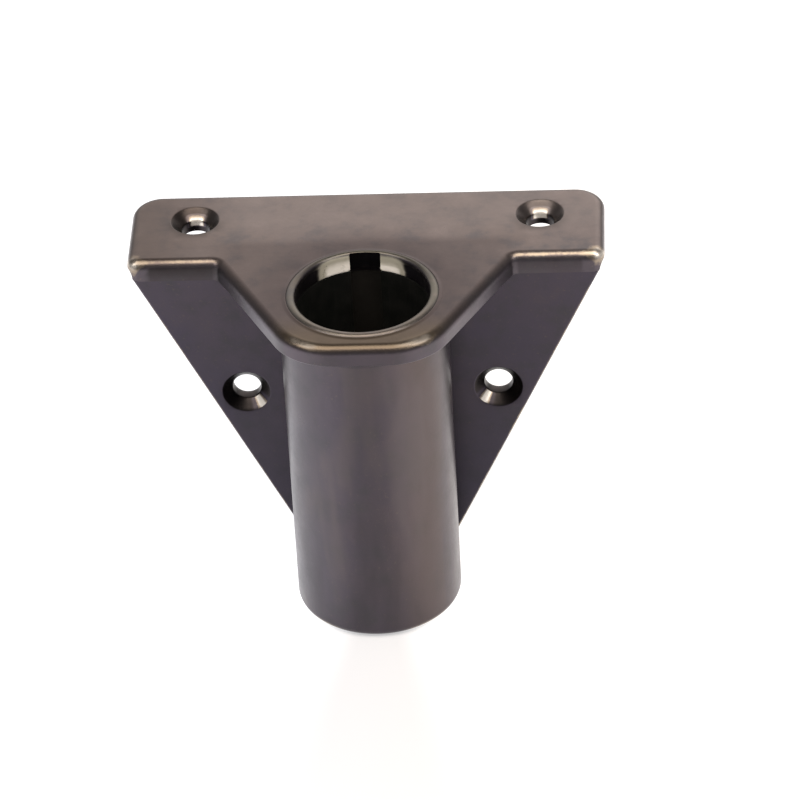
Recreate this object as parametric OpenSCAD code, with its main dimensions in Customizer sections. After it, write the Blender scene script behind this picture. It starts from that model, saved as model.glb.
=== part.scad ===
// Side-mount stanchion base: a socket tube for a 25.4 mm (1 in) stanchion
// under a top flange that lies on the gunwale, with two wing plates that
// screw to the hull side. Every piece is its own solid.
// Frame: origin on the socket axis at the flange's top face. +Z up along the
// socket, +X along the flange, +Y towards the boat. Millimetres.

/* [Flange] */
// Width of the flange strip along X
flange_w = 91.5; // [84:0.5:110]
// Distance from the socket axis to the strip's front edge
flange_front = 11.8; // [11:0.1:13]
// Distance from the socket axis to the strip's rear edge
flange_rear = 35.5; // [32:0.5:44]
// Thickness of the flange and wing plate stock
plate_t = 4.2; // [3.5:0.1:4.2]
// Corner radius of the strip's rear corners in plan
rear_corner_r = 5.8; // [3:0.2:8]
// Width of the relief groove along the inside corner under the flange
relief_w = 1; // [0.6:0.1:2]
// Depth of the relief groove
relief_d = 0.4; // [0.2:0.1:0.8]

/* [Nose around the socket] */
// Distance from the socket axis to each slanted side of the nose
nose_side = 19.6; // [19:0.1:20.5]
// Angle of the slanted sides' outward normals from straight ahead
nose_angle = 62; // [58:1:66]
// Distance from the socket axis to the nose's front
nose_front = 18; // [17.9:0.1:19]
// Corner radius of the nose in plan
nose_r = 13; // [12:0.5:14]

/* [Socket] */
// Outer radius of the socket tube
tube_r = 16; // [15.8:0.1:16.2]
// Inner radius of the socket tube, the seat of the liner
tube_bore_r = 14; // [13.9:0.1:14.2]
// Depth of the tube's bottom below the flange's top face
tube_depth = 70; // [60:1:90]
// Rounding of the tube's bottom edge
tube_round = 1.7; // [1:0.1:1.7]
// Radius of the bore that the stanchion slides into
bore_r = 12.75; // [12.6:0.05:12.9]
// Thickness of the floor disc
floor_t = 4; // [3:0.5:6]
// Radius of the drain hole in the floor
drain_r = 3; // [2:0.25:4]

/* [Mouth] */
// Outer radius of the mouth ring and of its seat in the flange
ring_r = 14.5; // [14.4:0.1:14.8]
// Depth of the mouth ring below the flange's top face
ring_depth = 3.3; // [2.6:0.1:3.4]
// Width of the keyway
key_w = 5.8; // [4:0.2:7]

/* [Screw holes] */
// Radius of each screw hole
hole_r = 2.75; // [2:0.05:3]
// Radius of each countersink at the surface
sink_r = 4.6; // [4:0.1:4.8]
// Distance of the flange holes from the centre plane
flange_hole_x = 33.3; // [30:0.1:36]
// Distance of the flange holes behind the socket axis
flange_hole_y = 26.2; // [23:0.1:27]
// Distance of the wing holes from the centre plane
wing_hole_x = 24.5; // [23:0.1:26]
// Depth of the wing holes below the flange's top face
wing_hole_z = 30.6; // [27:0.1:33]

/* [Wings] */
// Half-width that the wing's slanted edge would reach at the top face
wing_top_x = 46.6; // [45.5:0.1:48]
// Sideways run of the slanted edge per millimetre of depth
wing_slope = 0.4814; // [0.44:0.0002:0.5]
// Depth of the wings' bottom edge
wing_depth = 67; // [60:1:67]

/* [Fillets] */
// Leg of the brazed fillets
fillet = 1.8; // [1.2:0.1:1.8]

/* [Hidden] */
$fn = 96;
blunt = 0.15;                       // flat left at each fillet's two edges
wing_back = flange_front + plate_t; // rear face of the wings
wing_gap = 5;                       // inner end of each wing, behind the tube
bead_r = (ring_r - 0.8 - bore_r);   // rounding of the ring's bead
bead_z = -0.5;                      // level of the bead's centre
key_r = 13.5;                       // radius that the keyway reaches in the ring
nose_cy = nose_r - nose_front;      // centre of the nose's corner arcs
nose_cx = (nose_side - nose_r + nose_cy * cos(nose_angle)) / sin(nose_angle);
// where the slanted side meets the strip's front edge
nose_in_x = (nose_side + flange_front * cos(nose_angle)) / sin(nose_angle);
// tangent point of the corner arc on the slanted side
nose_tx = nose_cx + nose_r * sin(nose_angle);
nose_ty = nose_cy - nose_r * cos(nose_angle);

// flat outline of the flange with its nose
module flange_outline() {
    difference() {
        translate([-flange_w / 2, flange_front])
            square([flange_w, flange_rear - flange_front]);
        for (s = [-1, 1])
            difference() {
                translate([s * (flange_w / 2 - rear_corner_r / 2 + 1),
                           flange_rear - rear_corner_r / 2 + 1])
                    square([rear_corner_r + 2, rear_corner_r + 2], center = true);
                translate([s * (flange_w / 2 - rear_corner_r),
                           flange_rear - rear_corner_r])
                    circle(rear_corner_r);
            }
    }
    polygon([[-nose_in_x, flange_front], [-nose_tx, nose_ty],
             [-nose_cx, -nose_front], [nose_cx, -nose_front],
             [nose_tx, nose_ty], [nose_in_x, flange_front],
             [nose_in_x, flange_front + 2], [-nose_in_x, flange_front + 2]]);
    for (s = [-1, 1]) translate([s * nose_cx, nose_cy]) circle(nose_r);
}

// screw hole with a 90 degree countersink, sunk along -Z from the origin
module sunk_hole(t) {
    translate([0, 0, -t - 1]) cylinder(h = t + 2, r = hole_r);
    translate([0, 0, -(sink_r - hole_r)])
        cylinder(h = sink_r - hole_r, r1 = hole_r, r2 = sink_r);
    cylinder(h = 1, r = sink_r);
}

module top_flange() {
    color([0.42, 0.36, 0.35])
    difference() {
        translate([0, 0, -plate_t]) linear_extrude(plate_t) flange_outline();
        translate([0, 0, -plate_t - 1]) cylinder(h = plate_t + 2, r = ring_r);
        for (s = [-1, 1])
            translate([s * flange_hole_x, flange_hole_y, 0]) sunk_hole(plate_t);
        // the ends lean in below, in line with the wings' slanted edges
        for (s = [-1, 1])
            translate([0, flange_rear + 1, 0]) rotate([90, 0, 0])
                linear_extrude(flange_rear - flange_front + 2)
                    polygon([[s * (wing_top_x + wing_slope), 1],
                             [s * (wing_top_x - 6 * wing_slope), -6],
                             [s * flange_w, -6], [s * flange_w, 1]]);
        // relief for the rail's corner, between the wings' back and the seat
        translate([-flange_w, wing_back, -plate_t - 1])
            cube([2 * flange_w, relief_w, 1 + relief_d]);
    }
}

// one wing plate, on the +X side
module wing() {
    difference() {
        translate([0, wing_back, 0]) rotate([90, 0, 0])
            linear_extrude(plate_t)
                polygon([[wing_gap, -plate_t],
                         [wing_top_x - wing_slope * plate_t, -plate_t],
                         [wing_top_x - wing_slope * wing_depth, -wing_depth],
                         [wing_gap, -wing_depth]]);
        translate([0, 0, -tube_depth - 1]) cylinder(h = tube_depth + 2, r = tube_r);
        translate([wing_hole_x, flange_front, -wing_hole_z])
            rotate([90, 0, 0]) sunk_hole(plate_t);
    }
}
module right_wing() { color([0.29, 0.27, 0.29]) wing(); }
module left_wing() { color([0.29, 0.27, 0.29]) mirror([1, 0, 0]) wing(); }

module socket_tube() {
    color([0.36, 0.33, 0.34])
    rotate_extrude()
        difference() {
            translate([tube_bore_r, -tube_depth])
                square([tube_r - tube_bore_r, tube_depth - plate_t]);
            difference() {
                translate([tube_r - tube_round, -tube_depth - 1])
                    square([tube_round + 1, tube_round + 1]);
                translate([tube_r - tube_round, -tube_depth + tube_round])
                    circle(tube_round);
            }
        }
}

// keyway cutter on the +Y side, open to the bore
module keyway(z0, z1) {
    translate([0, 0, z0]) intersection() {
        translate([-key_w / 2, 0, 0]) cube([key_w, ring_r + 2, z1 - z0]);
        cylinder(h = z1 - z0, r = key_r);
    }
}

// turned ring with a rounded bead that stands just proud of the flange
module mouth_ring() {
    color([0.47, 0.44, 0.38])
    difference() {
        rotate_extrude() {
            translate([bore_r, -ring_depth])
                square([ring_r - bore_r, ring_depth + bead_z]);
            intersection() {
                translate([bore_r + bead_r, bead_z]) circle(bead_r);
                translate([bore_r - 1, bead_z - 0.01])
                    square([ring_r - bore_r + 1, 2]);
            }
        }
        keyway(-ring_depth - 1, 2);
    }
}

// flanged nylon sleeve with the keyway running its whole length
module socket_liner() {
    color([0.06, 0.06, 0.06])
    difference() {
        rotate_extrude() {
            translate([bore_r, -tube_depth + floor_t])
                square([tube_bore_r - bore_r, tube_depth - floor_t - ring_depth]);
            translate([bore_r, -plate_t])
                square([ring_r - bore_r, plate_t - ring_depth]);
        }
        translate([-key_w / 2, 0, -tube_depth])
            cube([key_w, ring_r + 2, tube_depth]);
    }
}

module socket_floor() {
    color([0.30, 0.27, 0.27])
    translate([0, 0, -tube_depth])
        difference() {
            cylinder(h = floor_t, r = tube_bore_r);
            translate([0, 0, -1]) cylinder(h = floor_t + 2, r = drain_r);
        }
}

// fillet ring between the tube and the flange's underside, in front of the wings
module collar_fillet() {
    color([0.33, 0.30, 0.31])
    difference() {
        rotate_extrude()
            difference() {
                translate([tube_r, -plate_t - fillet]) square(fillet);
                translate([tube_r + fillet, -plate_t - fillet])
                    circle(fillet - blunt);
            }
        translate([-30, flange_front, -plate_t - fillet - 1])
            cube([60, 30, fillet + 2]);
    }
}

// fillet between the tube and a wing's front face, on the +X side
module wing_fillet() {
    cy = flange_front - fillet;
    cx = sqrt(pow(tube_r + fillet, 2) - cy * cy);
    k = tube_r / (tube_r + fillet);
    translate([0, 0, -wing_depth])
        linear_extrude(wing_depth - plate_t - fillet)
            difference() {
                polygon([[cx * k * 0.7, flange_front], [cx, flange_front],
                         [cx, cy], [cx * k, cy * k]]);
                circle(tube_r);
                translate([cx, cy]) circle(fillet - blunt);
            }
}
module right_wing_fillet() { color([0.31, 0.29, 0.30]) wing_fillet(); }
module left_wing_fillet() { color([0.31, 0.29, 0.30]) mirror([1, 0, 0]) wing_fillet(); }

// fillet between the nose's underside and a wing's front face, on the +X side
module flange_fillet() {
    x0 = 12;
    x1 = nose_in_x - 1.6;
    difference() {
        translate([x0, 0, 0]) rotate([90, 0, 90])
            linear_extrude(x1 - x0)
                difference() {
                    translate([flange_front - fillet, -plate_t - fillet])
                        square(fillet);
                    translate([flange_front - fillet, -plate_t - fillet])
                        circle(fillet - blunt);
                }
        translate([0, 0, -plate_t - fillet - 1])
            cylinder(h = fillet + 2, r = tube_r + fillet);
    }
}
module right_flange_fillet() { color([0.31, 0.29, 0.30]) flange_fillet(); }
module left_flange_fillet() { color([0.31, 0.29, 0.30]) mirror([1, 0, 0]) flange_fillet(); }

top_flange();
left_wing();
right_wing();
socket_tube();
mouth_ring();
socket_liner();
socket_floor();
collar_fillet();
left_wing_fillet();
right_wing_fillet();
left_flange_fillet();
right_flange_fillet();
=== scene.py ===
import math

import bpy
import bmesh
from mathutils import Matrix, Vector, geometry


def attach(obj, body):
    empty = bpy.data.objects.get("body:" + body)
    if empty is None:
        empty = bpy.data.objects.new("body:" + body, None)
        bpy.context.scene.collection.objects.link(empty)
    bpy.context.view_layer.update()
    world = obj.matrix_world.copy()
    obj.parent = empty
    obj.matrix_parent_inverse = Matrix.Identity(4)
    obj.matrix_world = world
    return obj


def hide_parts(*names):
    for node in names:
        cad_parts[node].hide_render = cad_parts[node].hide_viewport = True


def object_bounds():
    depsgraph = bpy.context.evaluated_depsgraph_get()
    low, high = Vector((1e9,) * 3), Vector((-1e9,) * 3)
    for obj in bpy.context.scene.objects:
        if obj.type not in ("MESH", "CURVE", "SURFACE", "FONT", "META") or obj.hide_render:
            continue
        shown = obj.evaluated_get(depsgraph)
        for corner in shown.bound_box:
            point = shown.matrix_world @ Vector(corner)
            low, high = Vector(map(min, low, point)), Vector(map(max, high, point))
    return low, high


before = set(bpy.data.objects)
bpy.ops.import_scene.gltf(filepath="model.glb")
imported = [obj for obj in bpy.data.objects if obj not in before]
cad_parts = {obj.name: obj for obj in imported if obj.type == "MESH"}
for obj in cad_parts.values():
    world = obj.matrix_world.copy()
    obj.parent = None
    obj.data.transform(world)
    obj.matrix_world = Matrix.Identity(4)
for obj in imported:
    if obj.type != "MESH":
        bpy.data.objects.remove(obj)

lo0, hi0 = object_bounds()
MM = 0.001

# ---------------------------------------------------------------- sizes, mm
HALF_W = 45.75
FRONT, REAR = 11.8, 35.5
PLATE = 4.2
BACK = 16.0
TUBE_R, TUBE_IN, TUBE_Z = 16.0, 14.0, -70.0
BORE_R = 12.75
RING_R = 14.5
RING_Z = -3.3
KEY_X = 2.9
KEY_R = 13.5
HOLE_R, SINK_R = 2.75, 4.6
FLANGE_HOLE = (33.3, 26.2)
WING_HOLE = (24.5, -30.6)
WING_Z = -67.0
SLOPE = 0.4814
WING_TOP_X = 46.6
NOSE_IN_X, NOSE_CX, NOSE_FRONT, NOSE_ANGLE = 28.47, 4.82, 18.0, 62.0
EDGE = 1.95          # rounding of the flange's upper edge


def clamp(v, a=0.0, b=1.0):
    return max(a, min(b, v))


def smooth(v, a, b):
    t = clamp((v - a) / (b - a))
    return t * t * (3 - 2 * t)


# ---------------------------------------------------------------- mesh tools
class Shape:
    """Vertices in mm, each with a value for rubbed edges and painted light and shade, and faces."""

    def __init__(self):
        self.v, self.w, self.f = [], [], []

    def add(self, p, w=0.0):
        self.v.append((float(p[0]), float(p[1]), float(p[2])))
        self.w.append(float(w))
        return len(self.v) - 1

    def row(self, pts, w=0.0):
        if hasattr(w, "__len__"):
            return [self.add(p, q) for p, q in zip(pts, w)]
        return [self.add(p, w) for p in pts]

    def strip(self, a, b, closed=True):
        n = len(a)
        for i in range(n if closed else n - 1):
            j = (i + 1) % n
            self.f.append((a[i], a[j], b[j], b[i]))

    def face(self, ids):
        self.f.append(tuple(ids))

    def mirrored(self):
        s = Shape()
        s.v = [(-x, y, z) for x, y, z in self.v]
        s.w = list(self.w)
        s.f = [tuple(reversed(f)) for f in self.f]
        return s

    def build(self, name, sharp=30.0):
        me = bpy.data.meshes.new(name)
        me.from_pydata([(x * MM, y * MM, z * MM) for x, y, z in self.v], [], self.f)
        at = me.attributes.new("wear_and_light", "FLOAT", "POINT")
        at.data.foreach_set("value", self.w)
        bm = bmesh.new()
        bm.from_mesh(me)
        bmesh.ops.remove_doubles(bm, verts=bm.verts, dist=2e-7)
        bmesh.ops.dissolve_degenerate(bm, edges=bm.edges, dist=1e-7)
        bmesh.ops.recalc_face_normals(bm, faces=bm.faces)
        if bm.calc_volume(signed=True) < 0:
            bmesh.ops.reverse_faces(bm, faces=bm.faces)
        open_edges = sum(1 for e in bm.edges if not e.is_manifold)
        print("mesh", name, len(bm.verts), "verts,", len(bm.faces), "faces,",
              open_edges, "open edges,", round(bm.calc_volume() * 1e9, 1), "mm3")
        bm.to_mesh(me)
        bm.free()
        ob = bpy.data.objects.new(name, me)
        bpy.context.collection.objects.link(ob)
        finish_normals(ob, sharp)
        return ob


def finish_normals(ob, sharp=30.0):
    me = ob.data
    me.shade_smooth()
    me.set_sharp_from_angle(angle=math.radians(sharp))
    wn = ob.modifiers.new("even_normals", "WEIGHTED_NORMAL")
    wn.keep_sharp = True
    wn.weight = 60


def round_poly(verts, radii, off, counts, straight=None):
    """Closed outline (counter-clockwise), moved inward by off, corners rounded.
    Every call gives the same number of points, so that outlines loft together."""
    n = len(verts)
    lines = []
    for i in range(n):
        a, b = Vector(verts[i]), Vector(verts[(i + 1) % n])
        d = (b - a).normalized()
        nrm = Vector((-d.y, d.x))
        lines.append((a + nrm * off, d))
    corners = []
    for i in range(n):
        (p, d), (q, e) = lines[i - 1], lines[i]
        den = d.x * e.y - d.y * e.x
        t = ((q.x - p.x) * e.y - (q.y - p.y) * e.x) / den
        corners.append(p + d * t)
    arcs = []
    for i in range(n):
        c = corners[i]
        d, e = lines[i - 1][1], lines[i][1]
        turn = math.atan2(d.x * e.y - d.y * e.x, d.dot(e))
        convex = turn > 0
        r = max(radii[i] - off, 0.03) if convex else radii[i] + off
        tl = r * math.tan(abs(turn) / 2)
        start = c - d * tl
        side = Vector((-d.y, d.x)) * (1 if convex else -1)
        centre = start + side * r
        pts = []
        k = counts[i]
        for j in range(k + 1):
            a = turn * j / k
            v = start - centre
            pts.append(centre + Vector((v.x * math.cos(a) - v.y * math.sin(a),
                                        v.x * math.sin(a) + v.y * math.cos(a))))
        arcs.append(pts)
    out = []
    for i in range(n):
        out.extend(arcs[i])
        a, b = arcs[i][-1], arcs[(i + 1) % n][0]
        marks = (straight or {}).get(i)
        if marks is None:
            m = 6
            out.extend(a.lerp(b, j / m) for j in range(1, m))
        else:
            out.extend(marks(a, b))
    return [(p.x, p.y) for p in out]


def inside(poly, x, y):
    c = False
    n = len(poly)
    for i in range(n):
        x0, y0 = poly[i]
        x1, y1 = poly[(i + 1) % n]
        if (y0 > y) != (y1 > y) and x < (x1 - x0) * (y - y0) / (y1 - y0) + x0:
            c = not c
    return c


def near_edge(loops, x, y):
    best = 1e9
    for poly in loops:
        n = len(poly)
        for i in range(n):
            x0, y0 = poly[i]
            x1, y1 = poly[(i + 1) % n]
            dx, dy = x1 - x0, y1 - y0
            L = dx * dx + dy * dy
            t = clamp(((x - x0) * dx + (y - y0) * dy) / L) if L > 0 else 0
            best = min(best, (x0 + t * dx - x) ** 2 + (y0 + t * dy - y) ** 2)
    return math.sqrt(best)


def cap(shape, loops, ids, place, step=2.4, lines=(), line_ids=(), keep=None, w=0.0):
    """Fill between an outline (loops[0]) and holes (the rest) with triangles.
    lines are extra constraint segments between existing points."""
    pts, key, edges = [], [], []
    for loop, idl in zip(loops, ids):
        base = len(pts)
        n = len(loop)
        for i in range(n):
            pts.append(Vector(loop[i]))
            key.append(idl[i])
            edges.append((base + i, base + (i + 1) % n))
    for (a, b) in lines:
        edges.append((key.index(a), key.index(b)))
    nb = len(pts)
    xs = [p[0] for p in loops[0]]
    ys = [p[1] for p in loops[0]]
    x0, x1, y0, y1 = min(xs), max(xs), min(ys), max(ys)
    segs = [(pts[key.index(a)], pts[key.index(b)]) for a, b in lines]
    iy, y = 0, y0 + step * 0.5
    while y < y1:
        x = x0 + step * (0.5 if iy % 2 else 1.0)
        while x < x1:
            if inside(loops[0], x, y) and not any(inside(h, x, y) for h in loops[1:]):
                if near_edge(loops, x, y) > step * 0.55 and all(
                        near_edge([[tuple(a), tuple(b)]], x, y) > step * 0.3 for a, b in segs):
                    pts.append(Vector((x, y)))
            x += step
        y += step * 0.87
        iy += 1
    res = geometry.delaunay_2d_cdt(pts, edges, [], 0, 1e-6)
    vs, fs, orig = res[0], res[2], res[3]
    lookup = []
    for i, p in enumerate(vs):
        src = [o for o in orig[i] if o < nb]
        if src:
            lookup.append(key[src[0]])
        else:
            lookup.append(None)
    made = {}
    for f in fs:
        cx = sum(vs[i].x for i in f) / 3
        cy = sum(vs[i].y for i in f) / 3
        if not inside(loops[0], cx, cy) or any(inside(h, cx, cy) for h in loops[1:]):
            continue
        if keep and not keep(cx, cy):
            continue
        tri = []
        for i in f:
            if lookup[i] is not None:
                tri.append(lookup[i])
            else:
                if i not in made:
                    made[i] = shape.add(place(vs[i].x, vs[i].y), w)
                tri.append(made[i])
        shape.face(tri)


def ring_pts(cx, cy, r, n):
    return [(cx + r * math.cos(2 * math.pi * i / n), cy + r * math.sin(2 * math.pi * i / n))
            for i in range(n)]


def lathe(shape, profile, n=160, wear_and_light=None, turn=None):
    """Closed profile [(r, z)] turned about Z."""
    rows = []
    for k, (r, z) in enumerate(profile):
        w = wear_and_light[k] if wear_and_light else 0.0
        if turn:
            w = [turn(w, r, z, 360.0 * i / n) for i in range(n)]
        rows.append(shape.row([(x, y, z) for x, y in ring_pts(0, 0, r, n)], w))
    for k in range(len(rows)):
        shape.strip(rows[k], rows[(k + 1) % len(rows)])


def arc(cx, cz, r, a0, a1, n):
    return [(cx + r * math.cos(math.radians(a0 + (a1 - a0) * i / n)),
             cz + r * math.sin(math.radians(a0 + (a1 - a0) * i / n))) for i in range(n + 1)]


# ---------------------------------------------------------------- flange
def flange_mesh():
    s = Shape()
    nf = math.radians(NOSE_ANGLE)
    # sharp corner where the slanted side would meet the nose's front line
    side = 19.6
    xf = (side - NOSE_FRONT * math.cos(nf)) / math.sin(nf)
    verts = [(-HALF_W, FRONT), (-NOSE_IN_X, FRONT), (-xf, -NOSE_FRONT), (xf, -NOSE_FRONT),
             (NOSE_IN_X, FRONT), (HALF_W, FRONT), (HALF_W, REAR), (-HALF_W, REAR)]
    radii = [2.2, 1.6, 13, 13, 1.6, 2.2, 5.8, 5.8]
    counts = [8, 8, 30, 30, 8, 8, 18, 18]

    def side_marks(a, b):
        up = b.y > a.y
        ys = [BACK, BACK + 1.0, 21.0, 25.0]
        if not up:
            ys = ys[::-1]
        return [Vector((a.x + (b.x - a.x) * (y - a.y) / (b.y - a.y), y)) for y in ys]

    straight = {5: side_marks, 7: side_marks}
    outlines = {}

    def outline(off):
        k = round(off, 4)
        if k not in outlines:
            outlines[k] = round_poly(verts, radii, off, counts, straight)
        return outlines[k]

    base = outline(0.0)
    n = len(base)
    # rows from the top rounding down to the seat
    # how much each stretch of the edge is rubbed bright, partly as a painted highlight: the nose's front and the
    # strip's front edges most, the slanted sides hardly at all
    rub_and_glint, corner_glint = [], []
    for i in range(n):
        (xa, ya), (xb, yb) = base[i - 1], base[(i + 1) % n]
        d = Vector((xb - xa, yb - ya)).normalized()
        fx, fy = d.y, -d.x                       # outward normal
        r = smooth(-fy, 0.62, 0.95)
        if base[i][1] < 0:
            r = smooth(-fy, 0.50, 0.80) * (0.75 + 0.25 * smooth(abs(fx), 0.1, 0.5))
        r = max(r, 0.35 * smooth(abs(fx), 0.9, 1.0), 0.15 * smooth(fy, 0.6, 1.0))
        wide = 19.0
        if base[i][1] < -6:                      # the nose's front and its two corners
            wide = 27.0 + 13.0 * smooth(abs(base[i][0]), 4.0, 9.0)
            r *= 1.42 + 0.30 * smooth(abs(base[i][0]), 4.0, 9.0)
        # painted highlight: the strip's front corners are bright all round, as if rubbed
        c = smooth(abs(base[i][0]), 41.8, 44.3) * (1 - smooth(base[i][1], 13.6, 16.4))
        wide, r = wide + (54.0 - wide) * c, r + (1.42 - r) * c
        rub_and_glint.append((r, wide))
        corner_glint.append(c)

    def dark_line_shade(i, deg):
        # painted shade: a dark line under the strip's bright line, stronger on the left
        x, y = base[i]
        if y < FRONT + 2.2 and y > FRONT - 1.5 and abs(x) > NOSE_IN_X - 0.6:
            d = (0.72 if x < 0 else 0.46) * (1 - smooth(deg, 8, 36))
            d *= 1 - smooth(abs(x), 42.4, 44.2)
            return d
        return 0.0
    rows = []
    K = 12
    for k in range(K, -1, -1):
        t = math.pi / 2 * k / K
        off = EDGE * (1 - math.cos(t))
        z = -EDGE + EDGE * math.sin(t)
        deg = math.degrees(t)
        # painted highlight: each row's value peaks about 54 degrees up the rounding, where the edge catches the
        # light
        ws = [q * math.exp(-((deg - 54 - 0.35 * (wd - 19)) / wd) ** 2) - dark_line_shade(i, deg)
              + 0.85 * corner_glint[i] * (1 - smooth(deg, 20, 60)) for i, (q, wd) in enumerate(rub_and_glint)]
        rows.append((s.row([(x, y, z) for x, y in outline(off)], ws), z))
    for a, b in zip(rows, rows[1:]):
        s.strip(b[0], a[0])
    wall = rows[-1][0]
    # lower edge: a small rounding under the nose only
    def under(x, y):
        return 1.0 - smooth(y, 9.2, 11.6) if abs(x) < NOSE_IN_X + 1 and y < FRONT else 0.0

    r_low = 0.35
    prev = wall
    low = []
    mid_z = -PLATE + 0.4
    levels = [(-mid_z, None)]
    rows_low = []
    for k in range(0, 6):
        t = math.pi / 2 * k / 5
        inner = outline(r_low)
        pts, ws = [], []
        for (x, y), (xi, yi) in zip(base, inner):
            u = under(x, y)
            o = u * (1 - math.cos(t))
            zz = -PLATE + r_low * u * (1 - math.sin(t))
            pts.append((x + (xi - x) * o, y + (yi - y) * o, zz))
            # painted highlight: a faint bright band along the nose's lower rounding; painted shade and corner
            # highlight carried down
            ws.append((0.35 * u * math.sin(2 * t) if 0 < k < 5 else 0.0) - 0.7 * dark_line_shade(len(pts) - 1, 0)
                      + 0.30 * corner_glint[len(pts) - 1])
        rows_low.append(s.row(pts, ws))
    # row at the groove's roof on the side walls
    roof_row = s.row([(x, y, min(-PLATE + 0.4, 0) if True else 0) for x, y in base], [-0.7 * dark_line_shade(i, 0) + 0.45 * corner_glint[i] for i in range(n)])
    # keep the roof row above the rounding start
    for i in range(n):
        x, y = base[i]
        u = under(x, y)
        s.v[roof_row[i]] = (x, y, max(-PLATE + 0.4, -PLATE + r_low * u + 0.02))
    s.strip(roof_row, wall)

    def in_groove(i):
        j = (i + 1) % n
        ya, yb = base[i][1], base[j][1]
        return (abs(abs(base[i][0]) - HALF_W) < 1e-6 and abs(abs(base[j][0]) - HALF_W) < 1e-6
                and min(ya, yb) > BACK - 1e-6 and max(ya, yb) < BACK + 1 + 1e-6)

    chain = [roof_row] + rows_low
    for a, b in zip(chain, chain[1:]):
        for i in range(n):
            if in_groove(i):
                continue
            j = (i + 1) % n
            s.f.append((b[i], b[j], a[j], a[i]))
    bottom = rows_low[-1]
    # top face with the mouth's seat and the countersinks
    NR, NS = 128, 56
    rim = [(RING_R + 0.95, 0.0), (RING_R + 0.72, 0.0), (RING_R + 0.52, 0.022), (RING_R + 0.30, 0.075),
           (RING_R + 0.12, 0.115), (RING_R + 0.02, 0.10), (RING_R, 0.03), (RING_R, -2.0), (RING_R, -PLATE)]
    rim_light_shade = [0.0, -0.45, 0.15, 0.62, 0.70, 0.55, 0, 0, 0]
    # painted highlight on the seat's crest and a painted dark band at its foot, at the front and sides only
    rim_rows = []
    for (r, z), w in zip(rim, rim_light_shade):
        ws = []
        for i in range(NR):
            da = abs((360.0 * i / NR - 90 + 180) % 360 - 180)
            ws.append(w * smooth(da, 62, 105))
        rim_rows.append(s.row([(x, y, z) for x, y in ring_pts(0, 0, r, NR)], ws))
    for a, b in zip(rim_rows, rim_rows[1:]):
        s.strip(a, b)
    sink = [(SINK_R + 0.28, 0.0), (SINK_R + 0.14, -0.03), (SINK_R, -0.11),
            (4.3, -0.38), (3.9, -0.78), (3.5, -1.18), (HOLE_R + 0.2, -1.73), (HOLE_R + 0.05, -1.9),
            (HOLE_R, -2.1), (HOLE_R, -2.9), (HOLE_R, -3.3), (HOLE_R, -PLATE)]
    sinkw = [0.1, 0.3, 0.3, 0.1, 0, 0, 0.1, 0.15, 0, 0, 0, 0]
    top_h, bot_h, top_i, bot_i = [], [], [], []
    for sx in (-1, 1):
        cx, cy = sx * FLANGE_HOLE[0], FLANGE_HOLE[1]
        rr = []
        for (r, z), w in zip(sink, sinkw):
            ws = []
            for i in range(NS):
                a = 360.0 * i / NS
                da = abs((a - 90 + 180) % 360 - 180)
                # painted highlight on the back of each hole's cone and wall; painted shade on the rest and
                # toward the front of the rim
                lit_spot = 1 - smooth(da, 20, 46)
                if z > -0.09:
                    ws.append(w - 0.7 * smooth(da, 60, 120))
                elif z > -0.9:
                    ws.append(-1.1)
                elif z > -1.3:
                    ws.append(-1.0 + 1.9 * lit_spot)
                elif z > -3.0:
                    ws.append(-1.0 + 2.95 * lit_spot)
                else:
                    ws.append(-1.0)
            rr.append(s.row([(x, y, z) for x, y in ring_pts(cx, cy, r, NS)], ws))
        for a, b in zip(rr, rr[1:]):
            s.strip(a, b)
        top_h.append(ring_pts(cx, cy, sink[0][0], NS))
        top_i.append(rr[0])
        bot_h.append(ring_pts(cx, cy, HOLE_R, NS))
        bot_i.append(rr[-1])
    cap(s, [outline(EDGE), ring_pts(0, 0, rim[0][0], NR)] + top_h,
        [rows[0][0], rim_rows[0]] + top_i, lambda x, y: (x, y, 0.0), step=2.2)
    # underside, parted by the relief groove
    low2d = [(s.v[i][0], s.v[i][1]) for i in bottom]

    def find(x, y):
        return min(range(n), key=lambda i: (base[i][0] - x) ** 2 + (base[i][1] - y) ** 2)

    corner = {(sx, yy): find(sx * HALF_W, yy) for sx in (-1, 1) for yy in (BACK, BACK + 1)}
    seg = [(bottom[corner[(-1, BACK)]], bottom[corner[(1, BACK)]]),
           (bottom[corner[(-1, BACK + 1)]], bottom[corner[(1, BACK + 1)]])]
    cap(s, [low2d, ring_pts(0, 0, RING_R, NR)] + bot_h, [bottom, rim_rows[-1]] + bot_i,
        lambda x, y: (x, y, -PLATE), step=3.0, lines=seg,
        keep=lambda x, y: not (BACK < y < BACK + 1))
    g = {k: roof_row[v] for k, v in corner.items()}
    b = {k: bottom[v] for k, v in corner.items()}
    s.face((g[(-1, BACK)], g[(1, BACK)], g[(1, BACK + 1)], g[(-1, BACK + 1)]))
    s.face((b[(-1, BACK)], b[(1, BACK)], g[(1, BACK)], g[(-1, BACK)]))
    s.face((b[(-1, BACK + 1)], b[(1, BACK + 1)], g[(1, BACK + 1)], g[(-1, BACK + 1)]))
    # the ends lean in below, in line with the wings' slanted edges
    for i, (x, y, z) in enumerate(s.v):
        lim = WING_TOP_X + SLOPE * z
        if abs(x) > lim:
            s.v[i] = (math.copysign(lim, x), y, z)
    return s


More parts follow.
